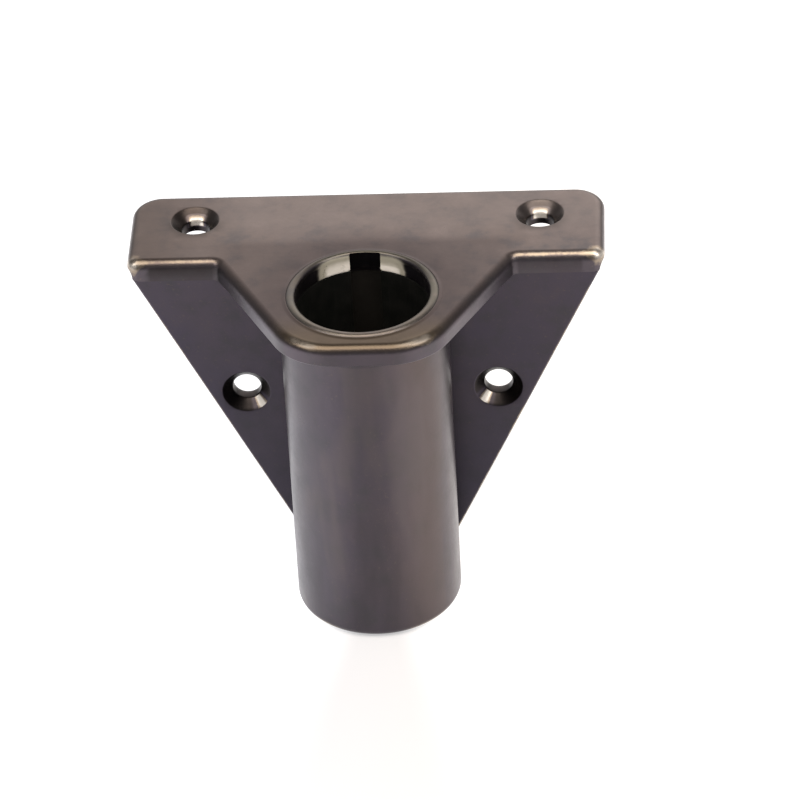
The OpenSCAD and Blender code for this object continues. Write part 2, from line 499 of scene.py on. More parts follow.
# ---------------------------------------------------------------- wings
def wing_shape():
    s = Shape()
    rf, rb = 0.55, 0.3
    layers = []
    for k in range(6):
        t = math.pi / 2 * k / 5
        layers.append((FRONT + rf * (1 - math.cos(t)), rf * (1 - math.sin(t)),
                       math.sin(2 * t) if 0 < k < 5 else 0.0))
    for y in (12.9, 13.5, 14.1, 14.6, 15.0, 15.199, 15.5):
        layers.append((y, 0.0, 0.0))
    for k in range(1, 5):
        t = math.pi / 2 * k / 4
        layers.append((BACK - rb + rb * math.sin(t), rb * (1 - math.cos(t)),
                       0.6 * math.sin(2 * t) if k < 4 else 0.0))

    def contour(y, off):
        xi = max(5.0, math.sqrt(max(0.0, TUBE_R ** 2 - y * y)))
        ox = off * math.sqrt(1 + SLOPE * SLOPE)

        def outer(z):
            return WING_TOP_X + SLOPE * z - ox
        zb = WING_Z + off
        top = (outer(-PLATE), -PLATE)
        # rounded lower outer corner
        c = Vector((outer(zb), zb))
        d1 = Vector((-SLOPE, -1)).normalized()   # down the slanted edge
        d2 = Vector((-1, 0))
        rc = 1.1
        ang = math.acos(clamp(d1.dot(d2), -1, 1))
        tl = rc * math.tan(ang / 2)
        p0 = c - d1 * tl
        nrm = Vector((d1.y, -d1.x))
        if nrm.x > 0:
            nrm = -nrm
        cen = p0 + nrm * rc
        pts = []
        m = 14
        for i in range(m):
            p = Vector(top).lerp(p0, i / m)
            pts.append((p.x, p.y))
        v0 = p0 - cen
        for i in range(7):
            a = -ang * i / 6
            pts.append((cen.x + v0.x * math.cos(a) - v0.y * math.sin(a),
                        cen.y + v0.x * math.sin(a) + v0.y * math.cos(a)))
        last = pts[-1]
        for i in range(1, 3):
            pts.append((last[0] + (xi - last[0]) * i / 3, zb))
        m = 14
        for i in range(m):
            pts.append((xi, zb + (-PLATE - zb) * i / m))
        m = 10
        for i in range(m):
            pts.append((xi + (top[0] - xi) * i / m, -PLATE))
        return pts

    rows, loops = [], []
    for y, off, w in layers:
        c = contour(y, off)
        nedge = 14 + 7
        ws = [w if i < nedge + 2 and i > 0 else 0.0 for i in range(len(c))]
        rows.append(s.row([(x, y, z) for x, z in c], ws))
        loops.append(c)
    for a, b in zip(rows, rows[1:]):
        s.strip(a, b)
    NS = 56
    hole = [(SINK_R + 0.24, FRONT), (SINK_R + 0.12, FRONT + 0.025), (SINK_R, FRONT + 0.1),
            (4.2, FRONT + 0.48), (3.6, FRONT + 1.08), (HOLE_R + 0.18, FRONT + 1.74),
            (HOLE_R + 0.05, FRONT + 1.9), (HOLE_R, FRONT + 2.1), (HOLE_R, BACK - 0.9),
            (HOLE_R, BACK - 0.2), (HOLE_R + 0.06, BACK - 0.06), (HOLE_R + 0.2, BACK)]
    hw = [0.15, 0.5, 0.45, 0.1, 0, 0.1, 0.15, 0, 0, 0, 0.1, 0.1]
    cx, cz = WING_HOLE
    hr = []
    for (r, y), w in zip(hole, hw):
        cone = 1.0 if 2.9 < r < 4.65 and y < BACK - 1 else 0.0
        ws = []
        for i in range(NS):
            a = 360.0 * i / NS
            da = abs((a - 228 + 180) % 360 - 180)
            # painted highlight: a bright spot on one side of the cone; the rest of the hole painted dark as
            # shade
            if cone:
                ws.append(-1.0 + 3.15 * math.exp(-(da / 21) ** 2))
            elif r < 2.9:
                ws.append(-0.7)
            elif y > BACK - 1:
                ws.append(w)
            else:
                ws.append(w - 0.4)
        hr.append(s.row([(x, y, z) for x, z in ring_pts(cx, cz, r, NS)], ws))
    for a, b in zip(hr, hr[1:]):
        s.strip(a, b)
    cap(s, [loops[0], ring_pts(cx, cz, hole[0][0], NS)], [rows[0], hr[0]],
        lambda x, z: (x, FRONT, z), step=2.6)
    cap(s, [loops[-1], ring_pts(cx, cz, hole[-1][0], NS)], [rows[-1], hr[-1]],
        lambda x, z: (x, BACK, z), step=3.0)
    return s


# ---------------------------------------------------------------- turned pieces
def tube_shape():
    s = Shape()
    prof, w = [], []
    for z in (-PLATE, -12, -22, -32, -42, -52, -60, -66):
        prof.append((TUBE_R, z)); w.append(0.0)
    for i, p in enumerate(arc(TUBE_R - 1.7, TUBE_Z + 1.7, 1.7, 0, -90, 12)):
        prof.append(p)
        w.append(0.75 * math.exp(-((i - 5) / 3.5) ** 2))
    for p in arc(TUBE_IN + 0.2, TUBE_Z + 0.2, 0.2, -90, -180, 4):
        prof.append(p); w.append(0.15)
    for z in (-66, -50, -30, -PLATE):
        prof.append((TUBE_IN, z)); w.append(0.0)
    # painted highlights on the bottom rounding at three bearings, over its rubbed edge
    def turn(v, r, z, a):
        if z > -66 or r < 14.1:
            return v
        da = min(abs((a - 312 + 180) % 360 - 180), abs((a - 226 + 180) % 360 - 180) * 1.3,
                 abs((a - 90 + 180) % 360 - 180) * 0.8)
        return v * (0.7 + 1.2 * math.exp(-(da / 22) ** 2))
    lathe(s, prof, 176, w, turn)
    return s


def ring_shape():
    """Beaded ring, still without its keyway."""
    s = Shape()
    # (radius at the back, radius in front, z, rubbed-bright value with painted highlight): inner flank, crest,
    # soft outer flank
    table = [(12.99, 12.80, -1.60, 1.70), (13.03, 12.79, -1.30, 1.60), (13.07, 12.78, -1.00, 1.45),
             (13.11, 12.77, -0.72, 1.25), (13.155, 12.77, -0.46, 1.05), (13.21, 12.79, -0.22, 0.85),
             (13.28, 12.85, 0.00, 0.60), (13.37, 12.95, 0.17, 0.36), (13.48, 13.10, 0.29, 0.26),
             (13.61, 13.28, 0.37, 0.24), (13.75, 13.48, 0.42, 0.25), (13.89, 13.70, 0.44, 0.25),
             (14.03, 13.90, 0.425, 0.25), (14.16, 14.08, 0.375, 0.25), (14.28, 14.23, 0.30, 0.25),
             (14.38, 14.35, 0.21, 0.24), (14.45, 14.44, 0.12, 0.22), (RING_R, RING_R, 0.05, 0.2),
             (RING_R, RING_R, -0.5, 0), (RING_R, RING_R, -1.6, 0), (RING_R, RING_R, RING_Z, 0),
             (BORE_R + 0.12, BORE_R + 0.12, RING_Z, 1.2), (BORE_R + 0.03, BORE_R + 0.03, RING_Z + 0.03, 1.7),
             (BORE_R, BORE_R, RING_Z + 0.10, 1.95), (12.79, 12.77, -2.95, 1.95), (12.84, 12.78, -2.60, 1.9),
             (12.89, 12.79, -2.25, 1.85), (12.94, 12.80, -1.92, 1.8)]
    n = 192
    rows = []
    for rb, rf, z, w in table:
        pts, ws = [], []
        for i in range(n):
            a = 360.0 * i / n
            t = math.radians(a)
            da = abs((a - 90 + 180) % 360 - 180)
            r = rb + (rf - rb) * smooth(da, 42, 74)
            pts.append((r * math.cos(t), r * math.sin(t), z))
            v = w
            if r < 13.5 and z < 0.3:
                # painted highlight: the inner flank is bright only toward the back, where it catches the light
                lit = 1 - (smooth(da, 30, 50) if a > 90 else smooth(da, 25, 43))
                if a < 90 and z > -2.0:
                    v *= 0.80                   # painted highlight, weaker on the right side above
                v *= 0.06 + 0.94 * lit if z < -0.9 else 0.30 + 0.70 * lit
            elif z > 0:
                v -= 0.60 * (1 - smooth(da, 62, 105))  # painted shade: the crest is darker at the back
            ws.append(v)
        rows.append(s.row(pts, ws))
    for k in range(len(rows)):
        s.strip(rows[k], rows[(k + 1) % len(rows)])
    return s


def liner_shape():
    s = Shape()
    prof = [(BORE_R, -65.8), (BORE_R + 0.2, -66.0), (TUBE_IN, -66.0), (TUBE_IN, -30.0),
            (TUBE_IN, -PLATE), (RING_R, -PLATE), (RING_R, RING_Z), (13.6, RING_Z),
            (BORE_R + 0.25, RING_Z), (BORE_R + 0.07, RING_Z - 0.07), (BORE_R, RING_Z - 0.25),
            (BORE_R, -20.0), (BORE_R, -40.0)]
    N = 150
    rows = []
    for r, z in prof:
        t0 = math.asin(KEY_X / r)
        pts = []
        for j in range(N + 1):
            a = math.pi / 2 + t0 + (2 * math.pi - 2 * t0) * j / N
            pts.append((r * math.cos(a), r * math.sin(a), z))
        rows.append(s.row(pts))
    m = len(rows)
    for k in range(m):
        s.strip(rows[k], rows[(k + 1) % m], closed=False)
    s.face([rows[k][0] for k in range(m)])
    s.face([rows[k][-1] for k in reversed(range(m))])
    return s


def floor_shape():
    s = Shape()
    lathe(s, [(3.0, -69.8), (3.2, -70.0), (13.6, -70.0), (TUBE_IN, -69.7), (TUBE_IN, -66.0),
              (3.25, -66.0), (3.05, -66.07), (3.0, -66.25)], 96)
    return s


# ---------------------------------------------------------------- fillets
def concave(cx, cz, r, a0, a1, n):
    return arc(cx, cz, r, a0, a1, n)


def collar_shape():
    """Under the nose, around the tube's front."""
    s = Shape()
    f = 1.8
    prof = [(TUBE_R, -PLATE)] + concave(TUBE_R + f, -PLATE - f, f, 180, 90, 8)
    N = 96
    rows = []
    for r, z in prof:
        te = math.pi - math.acos(FRONT / r)
        pts = []
        for j in range(N + 1):
            a = -te + 2 * te * j / N
            pts.append((r * math.sin(a), -r * math.cos(a), z))
        rows.append(s.row(pts))
    m = len(rows)
    for k in range(m):
        s.strip(rows[k], rows[(k + 1) % m], closed=False)
    s.face([rows[k][0] for k in range(m)])
    s.face([rows[k][-1] for k in reversed(range(m))])
    return s


def wing_fillet_shape():
    s = Shape()
    f = 1.8
    cy = FRONT - f
    cx = math.sqrt((TUBE_R + f) ** 2 - cy * cy)
    k = TUBE_R / (TUBE_R + f)
    a0 = math.atan2(FRONT, math.sqrt(TUBE_R ** 2 - FRONT ** 2))
    a1 = math.atan2(cy * k, cx * k)
    loop = [(TUBE_R * math.cos(a0 + (a1 - a0) * i / 6), TUBE_R * math.sin(a0 + (a1 - a0) * i / 6))
            for i in range(7)]
    b0 = math.atan2(cy * k - cy, cx * k - cx)
    if b0 < 0:
        b0 += 2 * math.pi
    b1 = math.pi / 2
    for i in range(1, 9):
        a = b0 + (b1 - b0) * i / 8
        loop.append((cx + f * math.cos(a), cy + f * math.sin(a)))
    rows = []
    zs = [-67.0, -66.9, -60, -50, -40, -30, -20, -12, -PLATE - f]
    mx = sum(p[0] for p in loop) / len(loop)
    my = sum(p[1] for p in loop) / len(loop)
    for i, z in enumerate(zs):
        sc = 0.97 if i == 0 else 1.0
        rows.append(s.row([(mx + (x - mx) * sc, my + (y - my) * sc, z) for x, y in loop]))
    for a, b in zip(rows, rows[1:]):
        s.strip(a, b)
    s.face(rows[0])
    s.face(list(reversed(rows[-1])))
    return s


def flange_fillet_shape():
    s = Shape()
    f = 1.8
    x1 = NOSE_IN_X - 1.6
    loop = [(FRONT, -PLATE)] + [(FRONT - f + f * math.cos(math.radians(a)),
                                 -PLATE - f + f * math.sin(math.radians(a)))
                                for a in (0, 11, 22, 34, 45, 56, 68, 79, 90)]
    rows = []
    for i in range(9):
        t = i / 8
        pts = []
        for y, z in loop:
            xs = math.sqrt((TUBE_R + f) ** 2 - y * y)
            pts.append((xs + (x1 - xs) * t, y, z))
        rows.append(s.row(pts))
    for a, b in zip(rows, rows[1:]):
        s.strip(a, b)
    s.face(rows[0])
    s.face(list(reversed(rows[-1])))
    return s


# ---------------------------------------------------------------- boolean help
def cut(ob, cutter_shape, name):
    me = bpy.data.meshes.new(name)
    me.from_pydata([(x * MM, y * MM, z * MM) for x, y, z in cutter_shape.v], [], cutter_shape.f)
    bm = bmesh.new()
    bm.from_mesh(me)
    bmesh.ops.recalc_face_normals(bm, faces=bm.faces)
    bm.to_mesh(me)
    bm.free()
    c = bpy.data.objects.new(name, me)
    bpy.context.collection.objects.link(c)
    mod = ob.modifiers.new("cut", "BOOLEAN")
    mod.operation = "DIFFERENCE"
    mod.solver = "EXACT"
    mod.object = c
    order = list(ob.modifiers)
    for m in order:
        if m.type == "WEIGHTED_NORMAL":
            ob.modifiers.remove(m)
    dg = bpy.context.evaluated_depsgraph_get()
    new = bpy.data.meshes.new_from_object(ob.evaluated_get(dg))
    ob.modifiers.clear()
    old = ob.data
    ob.data = new
    new.name = old.name
    bpy.data.meshes.remove(old)
    bpy.data.objects.remove(c)
    bpy.data.meshes.remove(me)


# ---------------------------------------------------------------- materials
class Nodes:
    def __init__(self, name):
        self.mat = bpy.data.materials.new(name)
        self.mat.use_nodes = True
        self.t = self.mat.node_tree
        self.t.nodes.clear()
        self.out = self.n("ShaderNodeOutputMaterial")
        self.bsdf = self.n("ShaderNodeBsdfPrincipled")
        self.t.links.new(self.bsdf.outputs[0], self.out.inputs[0])
        self.co = self.n("ShaderNodeTexCoord").outputs["Object"]

    def n(self, kind, **kw):
        nd = self.t.nodes.new(kind)
        for k, v in kw.items():
            setattr(nd, k, v)
        return nd

    def link(self, a, b):
        self.t.links.new(a, b)

    def mapped(self, scale=(1, 1, 1), loc=(0, 0, 0)):
        m = self.n("ShaderNodeMapping")
        m.inputs["Scale"].default_value = scale
        m.inputs["Location"].default_value = loc
        self.link(self.co, m.inputs["Vector"])
        return m.outputs[0]

    def noise(self, scale, detail=3.0, rough=0.5, vec=None, distort=0.0):
        nd = self.n("ShaderNodeTexNoise")
        nd.inputs["Scale"].default_value = scale
        nd.inputs["Detail"].default_value = detail
        nd.inputs["Roughness"].default_value = rough
        nd.inputs["Distortion"].default_value = distort
        self.link(vec or self.co, nd.inputs["Vector"])
        return nd.outputs["Fac"]

    def math(self, op, a, b=None, c=None, cl=False):
        nd = self.n("ShaderNodeMath", operation=op, use_clamp=cl)
        for i, v in enumerate((a, b, c)):
            if v is None:
                continue
            if isinstance(v, (int, float)):
                nd.inputs[i].default_value = v
            else:
                self.link(v, nd.inputs[i])
        return nd.outputs[0]

    def span(self, v, a, b, c=0.0, d=1.0, kind="SMOOTHSTEP"):
        nd = self.n("ShaderNodeMapRange", interpolation_type=kind)
        self.link(v, nd.inputs[0])
        for i, x in zip((1, 2, 3, 4), (a, b, c, d)):
            nd.inputs[i].default_value = x
        return nd.outputs[0]

    def mix(self, fac, a, b, mode="MIX"):
        nd = self.n("ShaderNodeMix", data_type="RGBA", blend_type=mode)
        for sock, v in ((nd.inputs[0], fac), (nd.inputs[6], a), (nd.inputs[7], b)):
            if isinstance(v, (int, float)):
                sock.default_value = v
            elif isinstance(v, tuple):
                sock.default_value = (v[0], v[1], v[2], 1.0)
            else:
                self.link(v, sock)
        return nd.outputs[2]


def bronze(name, tone=1.0, worn=0.0, rough=0.34, top_light_and_shade=False, cool_and_low_shade=0.0, tube=False):
    """Dark oxidised bronze with bare metal where edges are handled, and painted highlights and painted shade
    from each vertex's value.
    """
    m = Nodes(name)
    big = m.noise(38.0, 3.0, 0.55)
    mid = m.noise(170.0, 4.0, 0.6)
    fine = m.noise(1500.0, 3.0, 0.6)
    grain = m.noise(5200.0, 2.0, 0.5)
    # sanding direction: faint long streaks
    streak = m.noise(900.0, 2.0, 0.6, vec=m.mapped((0.06, 1.0, 1.0)))
    geo = m.n("ShaderNodeNewGeometry")
    sep = m.n("ShaderNodeSeparateXYZ")
    m.link(geo.outputs["Normal"], sep.inputs[0])
    up = m.span(sep.outputs["Z"], 0.2, 0.95)
    pos = m.n("ShaderNodeSeparateXYZ")
    m.link(m.co, pos.inputs[0])

    k = tone
    base_v = (0.081 * k, 0.070 * k, (0.083 + 0.008 * cool_and_low_shade) * k)   # walls: bluish, slightly purple, and darker as painted shade
    base_u = (0.114 * k, 0.092 * k, 0.085 * k)      # faces that look up: browner, and lighter as painted light from above
    if worn > 0:
        base_u = (0.096 * k, 0.088 * k, 0.071 * k)  # the mouth ring is a little greener
    # faces that look up take the lighter copy of each colour below: painted light from above
    col = m.mix(up, base_v, base_u)
    # large soft patches, a little redder and a little greener
    warm = m.mix(up, (0.093 * k, 0.077 * k, (0.083 + 0.006 * cool_and_low_shade) * k), (0.118 * k, 0.092 * k, 0.081 * k))
    col = m.mix(m.span(big, 0.40, 0.66, 0.0, 0.55), col, warm)
    col = m.mix(m.span(mid, 0.46, 0.68, 0.0, 0.55), col, (0.072 * k, 0.069 * k, 0.073 * k))
    col = m.mix(m.span(mid, 0.44, 0.30, 0.0, 0.45), col, m.mix(up, (0.094 * k, 0.078 * k, 0.088 * k),
                                                               (0.136 * k, 0.108 * k, 0.098 * k)))
    col = m.mix(m.span(fine, 0.58, 0.78, 0.0, 0.35), col, (0.150 * k, 0.120 * k, 0.100 * k))
    if tube:
        # cooler on the left, browner down the right, long stains along the tube
        stain = m.noise(95.0, 3.0, 0.55, vec=m.mapped((1.0, 1.0, 0.22)))
        side = m.math("ADD", pos.outputs["X"], m.math("MULTIPLY", m.math("SUBTRACT", stain, 0.5), 0.012))
        brown = m.math("MULTIPLY", m.span(side, 0.002, 0.0105), m.span(side, 0.0120, 0.0155, 1.0, 0.35))
        col = m.mix(m.math("MULTIPLY", brown, 0.62), col, (0.099 * k, 0.076 * k, 0.067 * k))
        col = m.mix(m.span(side, -0.004, -0.0125, 0.0, 0.35), col, (0.076 * k, 0.074 * k, 0.084 * k))
        col = m.mix(m.span(stain, 0.50, 0.66, 0.0, 0.55), col, (0.062 * k, 0.056 * k, 0.062 * k))
        col = m.mix(m.span(stain, 0.48, 0.34, 0.0, 0.45), col, (0.112 * k, 0.094 * k, 0.094 * k))
    if cool_and_low_shade > 0:
        # painted shade: darker towards the wings' lower corners
        low = m.span(pos.outputs["Z"], -0.052, -0.004, 0.60, 0.0, "LINEAR")
        col = m.mix(low, col, (0.020, 0.019, 0.026))
    # bare metal on rounded edges, broken up by noise; partly painted highlight, since the value is placed where
    # edges catch the light
    at = m.n("ShaderNodeAttribute", attribute_name="wear_and_light")
    brk = m.math("ADD", at.outputs["Fac"], m.math("MULTIPLY", m.math("SUBTRACT", mid, 0.5), 1.1))
    brk = m.math("ADD", brk, m.math("MULTIPLY", m.math("SUBTRACT", fine, 0.5), 0.7))
    wear_and_light = m.span(brk, 0.62, 1.15, 0.0, 0.75)
    if worn > 0:
        wear_and_light = m.math("MAXIMUM", wear_and_light, m.span(m.math("ADD", at.outputs["Fac"],
                      m.math("MULTIPLY", m.math("SUBTRACT", mid, 0.5), 0.4)), 0.22, 0.9, 0.0, worn))
    bare = (0.29, 0.235, 0.175) if worn <= 0 else (0.72, 0.665, 0.53)
    col = m.mix(wear_and_light, col, bare)
    # painted highlight: near-white where the value is highest, on hole walls, the ring's inner flank and the
    # strip's corners
    polish_and_glint = m.span(m.math("ADD", at.outputs["Fac"], m.math("MULTIPLY", m.math("SUBTRACT", mid, 0.5), 0.9)),
                 1.15, 1.9, 0.0, 1.0)
    col = m.mix(polish_and_glint, col, (0.88, 0.82, 0.74) if worn > 0 else (0.78, 0.73, 0.66))
    # painted shade: near-black in recesses and under edges, where the value is below zero
    recess_shade = m.span(m.math("ADD", at.outputs["Fac"], m.math("MULTIPLY", m.math("SUBTRACT", mid, 0.5), 0.5)),
                  -0.85, -0.05, 0.80, 0.0)
    col = m.mix(recess_shade, col, (0.020, 0.017, 0.015))
    if top_light_and_shade:
        # painted shade: darker around the mouth on faces that look up
        d = m.math("SQRT", m.math("ADD", m.math("MULTIPLY", pos.outputs["X"], pos.outputs["X"]),
                                  m.math("MULTIPLY", pos.outputs["Y"], pos.outputs["Y"])))
        d = m.math("ADD", d, m.math("MULTIPLY", m.math("SUBTRACT", big, 0.5), 0.006))
        g = m.math("MULTIPLY", m.span(d, 0.0150, 0.0250, 0.46, 0.0), up)
        col = m.mix(g, col, (0.038, 0.027, 0.027))
        # painted shade: the nose is darker than the strip behind it
        ax = m.math("ABSOLUTE", pos.outputs["X"])
        ye = m.math("ADD", pos.outputs["Y"], m.math("MULTIPLY", m.math("SUBTRACT", mid, 0.5), 0.0016))
        nz = m.math("MULTIPLY", m.span(ye, 0.0164, 0.0196, 1.0, 0.0), m.span(ax, 0.0235, 0.0325, 1.0, 0.0))
        col = m.mix(m.math("MULTIPLY", m.math("MULTIPLY", nz, up), 0.46), col, (0.038, 0.028, 0.027))
        # painted light: the rear middle is lighter; painted shade: the left end is darker
        cl = m.math("MULTIPLY", m.span(pos.outputs["Y"], 0.018, 0.026), m.span(pos.outputs["X"], -0.040, -0.020))
        col = m.mix(m.math("MULTIPLY", m.math("MULTIPLY", cl, up), 0.5), col, (0.150, 0.124, 0.113))
        dl = m.math("MULTIPLY", m.span(pos.outputs["X"], -0.046, -0.020, 0.58, 0.0), up)
        col = m.mix(dl, col, (0.044, 0.032, 0.026))
        # painted shade: browner and darker between the mouth and the nose's bright line
        nb = m.math("MULTIPLY", m.span(pos.outputs["Y"], -0.006, -0.0145), up)
        col = m.mix(m.math("MULTIPLY", nb, 0.75), col, (0.078, 0.058, 0.038))
    m.link(col, m.bsdf.inputs["Base Color"])
    if tube:
        # painted shade: the bore is near-black, without metal sheen
        rr = m.math("SQRT", m.math("ADD", m.math("MULTIPLY", pos.outputs["X"], pos.outputs["X"]),
                                   m.math("MULTIPLY", pos.outputs["Y"], pos.outputs["Y"])))
        bore = m.span(rr, 0.0141, 0.0144, 1.0, 0.0)
        bore_shade = m.mix(mid, (0.009, 0.008, 0.007), (0.016, 0.014, 0.012))
        m.link(m.mix(bore, col, bore_shade), m.bsdf.inputs["Base Color"])
        m.link(m.math("SUBTRACT", 1.0, bore), m.bsdf.inputs["Metallic"])
    elif worn > 0:
        # bare, scuffed metal scatters light
        m.link(m.math("SUBTRACT", m.span(wear_and_light, 0.1, 0.8, 1.0, 0.45), m.math("MULTIPLY", polish_and_glint, 0.35)),
               m.bsdf.inputs["Metallic"])
    else:
        m.link(m.span(polish_and_glint, 0.2, 1.0, 1.0, 0.55), m.bsdf.inputs["Metallic"])
    r = m.math("ADD", rough, m.math("MULTIPLY", m.math("SUBTRACT", mid, 0.5), 0.22))
    r = m.math("ADD", r, m.math("MULTIPLY", m.math("SUBTRACT", fine, 0.5), 0.14))
    r = m.math("SUBTRACT", r, m.math("MULTIPLY", wear_and_light, 0.06), cl=True)
    m.link(r, m.bsdf.inputs["Roughness"])
    # surface: soft cast waviness, fine tooth, faint streaks
    h = m.math("MULTIPLY", big, 1.0)
    h = m.math("ADD", h, m.math("MULTIPLY", mid, 0.16))
    b1 = m.n("ShaderNodeBump")
    b1.inputs["Strength"].default_value = 0.35
    b1.inputs["Distance"].default_value = 0.00035
    m.link(h, b1.inputs["Height"])
    h2 = m.math("ADD", m.math("MULTIPLY", fine, 0.6), m.math("MULTIPLY", grain, 0.35))
    h2 = m.math("ADD", h2, m.math("MULTIPLY", streak, 0.35))
    b2 = m.n("ShaderNodeBump")
    b2.inputs["Strength"].default_value = 0.30
    b2.inputs["Distance"].default_value = 0.00003
    m.link(h2, b2.inputs["Height"])
    m.link(b1.outputs[0], b2.inputs["Normal"])
    m.link(b2.outputs[0], m.bsdf.inputs["Normal"])
    return m.mat


def nylon(name):
    """Black moulded nylon, faintly mottled, with fine vertical rub marks."""
    m = Nodes(name)
    a = m.noise(260.0, 4.0, 0.6)
    f = m.noise(2600.0, 3.0, 0.6)
    v = m.noise(1400.0, 2.0, 0.5, vec=m.mapped((1.0, 1.0, 0.05)))
    col = m.mix(m.span(a, 0.35, 0.7), (0.0040, 0.0042, 0.0036), (0.0070, 0.0066, 0.0056))
    col = m.mix(m.span(v, 0.60, 0.78, 0.0, 0.5), col, (0.012, 0.011, 0.010))
    m.link(col, m.bsdf.inputs["Base Color"])
    m.bsdf.inputs["Metallic"].default_value = 0.0
    m.bsdf.inputs["Specular IOR Level"].default_value = 0.25
    r = m.math("ADD", 0.5, m.math("MULTIPLY", m.math("SUBTRACT", a, 0.5), 0.3), cl=True)
    m.link(r, m.bsdf.inputs["Roughness"])
    b = m.n("ShaderNodeBump")
    b.inputs["Strength"].default_value = 0.4
    b.inputs["Distance"].default_value = 0.00004
    m.link(m.math("ADD", m.math("MULTIPLY", f, 0.6), m.math("MULTIPLY", v, 0.6)), b.inputs["Height"])
    m.link(b.outputs[0], m.bsdf.inputs["Normal"])
    return m.mat


MAT_TOP = bronze("bronze_top", 1.0, rough=0.34, top_light_and_shade=True)
MAT_BODY = bronze("bronze_body", 1.0, rough=0.34)
MAT_TUBE = bronze("bronze_tube", 0.95, rough=0.34, tube=True)
# the wings use a darker copy of the bronze: painted shade
MAT_WING_SHADED = bronze("bronze_wing_shaded", 0.70, rough=0.36, cool_and_low_shade=1.0)
MAT_RING = bronze("bronze_ring", 1.05, worn=0.8, rough=0.36)
MAT_BRAZE = bronze("bronze_braze", 0.92, rough=0.40)
MAT_NYLON = nylon("black_nylon")

# ---------------------------------------------------------------- pieces
def place(ob, node, slot, mat):
    ob.data.materials.clear()
    ob.data.materials.append(mat)
    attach(ob, "root")
    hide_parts(node)
    return ob


place(flange_mesh().build("flange_plate"), "top_flange", "cast_bronze_top", MAT_TOP)
wing = wing_shape()
place(wing.build("wing_plate_right"), "right_wing", "cast_bronze", MAT_WING_SHADED)
place(wing.mirrored().build("wing_plate_left"), "left_wing", "cast_bronze", MAT_WING_SHADED)
place(tube_shape().build("tube_body"), "socket_tube", "cast_bronze", MAT_TUBE)

ring = ring_shape().build("mouth_bead_ring", sharp=40)
key = Shape()
NK = 24
tk = math.asin(KEY_X / KEY_R)
outl = [(-KEY_X, 6.0), (KEY_X, 6.0)] + [
    (KEY_R * math.cos(math.pi / 2 - tk + 2 * tk * i / NK), KEY_R * math.sin(math.pi / 2 - tk + 2 * tk * i / NK))
    for i in range(NK + 1)]


lowr = key.row([(x, y, -6.0) for x, y in outl])
topr = key.row([(x, y, 3.0) for x, y in outl])
key.strip(lowr, topr)
key.face(list(reversed(lowr)))
key.face(topr)
cut(ring, key, "keyway_cutter")


def shade_keyway(ob):
    """The keyway's own faces are painted dark as shade; the per-vertex value moves to face corners."""
    me = ob.data
    old = me.attributes["wear_and_light"]
    val = [0.0] * len(me.vertices)
    old.data.foreach_get("value", val)
    corner = []
    for p in me.polygons:
        c = p.center / MM
        cut_face = (c.y > 6 and abs(c.x) < KEY_X + 0.01 and c.xy.length < KEY_R + 0.02
                    and (abs(abs(c.x) - KEY_X) < 0.01 or c.xy.length > KEY_R - 0.06)
                    and abs(p.normal.z) < 0.3)
        for vi in p.vertices:
            corner.append(-0.35 if cut_face else val[vi])
    me.attributes.remove(old)
    at = me.attributes.new("wear_and_light", "FLOAT", "CORNER")
    at.data.foreach_set("value", corner)


shade_keyway(ring)
finish_normals(ring, 40)
place(ring, "mouth_ring", "worn_ring", MAT_RING)

place(liner_shape().build("liner_sleeve"), "socket_liner", "black_nylon", MAT_NYLON)
place(floor_shape().build("floor_disc"), "socket_floor", "cast_bronze", MAT_BODY)
place(collar_shape().build("collar_braze"), "collar_fillet", "braze", MAT_BRAZE)
wf = wing_fillet_shape()
place(wf.build("wing_braze_right"), "right_wing_fillet", "braze", MAT_BRAZE)
place(wf.mirrored().build("wing_braze_left"), "left_wing_fillet", "braze", MAT_BRAZE)
ff = flange_fillet_shape()
place(ff.build("flange_braze_right"), "right_flange_fillet", "braze", MAT_BRAZE)
place(ff.mirrored().build("flange_braze_left"), "left_flange_fillet", "braze", MAT_BRAZE)

# ---------------------------------------------------------------- stage
FLOOR_Z = lo0.z - 0.0002


